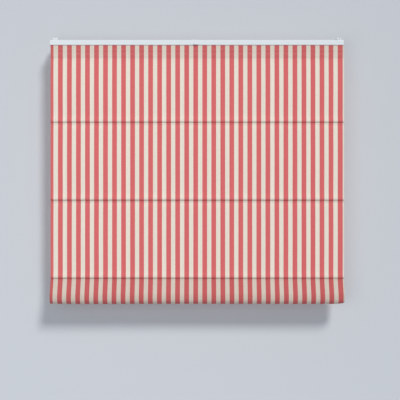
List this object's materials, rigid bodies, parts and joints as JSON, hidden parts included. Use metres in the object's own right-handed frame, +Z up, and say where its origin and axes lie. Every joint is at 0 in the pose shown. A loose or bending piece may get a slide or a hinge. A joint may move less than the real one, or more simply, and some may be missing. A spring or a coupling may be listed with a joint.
{
  "type": "roman blind",
  "caption": "Striped cloth roman blind with a slim white head rail, tucked folds, hooks over the window sash and a cordless spring lift.",
  "frame": {"origin": "on the flat back of the centre bracket, at the level of the head rail's top and the middle of its width; Y = 0 is the front face of the sash", "axes": "+X along the width, to the right seen from the room; +Y towards the window; +Z up"},
  "size_m": [1, 0.0701, 0.9084],
  "materials": {
    "white_paint": "satin white powder coat",
    "white_plastic": "moulded white plastic",
    "clear_plastic": "glossy off-white plastic",
    "tape": "hook-and-loop tape",
    "cream_cloth": "woven cotton, cream",
    "red_cloth": "woven cotton, coral red",
    "cord": "braided polyester cord",
    "steel": "drawn steel",
    "spring_steel": "blued spring steel",
    "rod": "glass-fibre rod",
    "bar": "mill aluminium"
  },
  "bodies": {
    "head": {"head_rail": "white_paint", "end_cap_left": "white_plastic", "end_cap_right": "white_plastic", "hook_tape": "tape", "loop_tape": "tape", "fabric_panel": "cream_cloth", "fabric_red_stripes": "red_cloth", "sash_hook_left": "white_paint", "sash_hook_right": "white_paint", "hook_screw_left": "steel", "hook_screw_right": "steel", "centre_bracket": "white_paint", "spring_housing": "white_plastic", "spring_cover": "white_plastic", "flat_spring": "spring_steel", "brake_housing": "white_plastic", "spool_cradle_left": "white_plastic", "spool_cradle_centre": "white_plastic", "spool_cradle_right": "white_plastic", "lift_cord_left": "cord", "lift_cord_centre": "cord", "lift_cord_right": "cord"},
    "latch": {"swivel_latch": "white_plastic", "latch_cam": "white_plastic"},
    "shaft": {"drive_shaft": "steel", "output_drum": "white_plastic", "brake_hub": "clear_plastic", "lift_spool_left": "clear_plastic", "lift_spool_centre": "clear_plastic", "lift_spool_right": "clear_plastic"},
    "storage": {"storage_drum": "white_plastic"},
    "rod_1": {"fold_rod_1": "rod", "lift_ring_1_left": "clear_plastic", "lift_ring_1_centre": "clear_plastic", "lift_ring_1_right": "clear_plastic"},
    "rod_2": {"fold_rod_2": "rod", "lift_ring_2_left": "clear_plastic", "lift_ring_2_centre": "clear_plastic", "lift_ring_2_right": "clear_plastic"},
    "rod_3": {"fold_rod_3": "rod", "lift_ring_3_left": "clear_plastic", "lift_ring_3_centre": "clear_plastic", "lift_ring_3_right": "clear_plastic"},
    "hem": {"bottom_bar": "bar", "bar_cap_left": "white_plastic", "bar_cap_right": "white_plastic", "bar_ring_left": "clear_plastic", "bar_ring_centre": "clear_plastic", "bar_ring_right": "clear_plastic", "cord_stop_left": "clear_plastic", "cord_stop_centre": "clear_plastic", "cord_stop_right": "clear_plastic"}
  },
  "joints": [
    {"name": "fold_1", "type": "slide", "parent": "head", "child": "rod_1", "axis": [0, 0, 1], "range_m": [0, 0.2], "deforming": ["fabric_panel", "fabric_red_stripes", "lift_cord_left", "lift_cord_centre", "lift_cord_right"]},
    {"name": "fold_2", "type": "slide", "parent": "rod_1", "child": "rod_2", "axis": [0, 0, 1], "range_m": [0, 0.2]},
    {"name": "fold_3", "type": "slide", "parent": "rod_2", "child": "rod_3", "axis": [0, 0, 1], "range_m": [0, 0.2]},
    {"name": "hem_lift", "type": "slide", "parent": "rod_3", "child": "hem", "axis": [0, 0, 1], "range_m": [-0.13, 0.01]},
    {"name": "shaft_spin", "type": "hinge", "parent": "head", "child": "shaft", "pos_m": [0, -0.01455, -0.022], "axis": [1, 0, 0], "range_deg": [0, 5984]},
    {"name": "storage_spin", "type": "hinge", "parent": "head", "child": "storage", "pos_m": [0.19, -0.01455, -0.0092], "axis": [1, 0, 0], "range_deg": [0, 8411]},
    {"name": "latch_turn", "type": "hinge", "parent": "head", "child": "latch", "pos_m": [-0.009, -0.0303, -0.0128], "axis": [0, 1, 0], "range_deg": [0, 90]}
  ],
  "couplings": [
    {"joint": "fold_2", "follows": "fold_1", "ratio": 1},
    {"joint": "fold_3", "follows": "fold_1", "ratio": 1},
    {"joint": "shaft_spin", "follows": "fold_1", "rad_per_m": 521.74},
    {"joint": "storage_spin", "follows": "fold_1", "rad_per_m": 733.52}
  ]
}
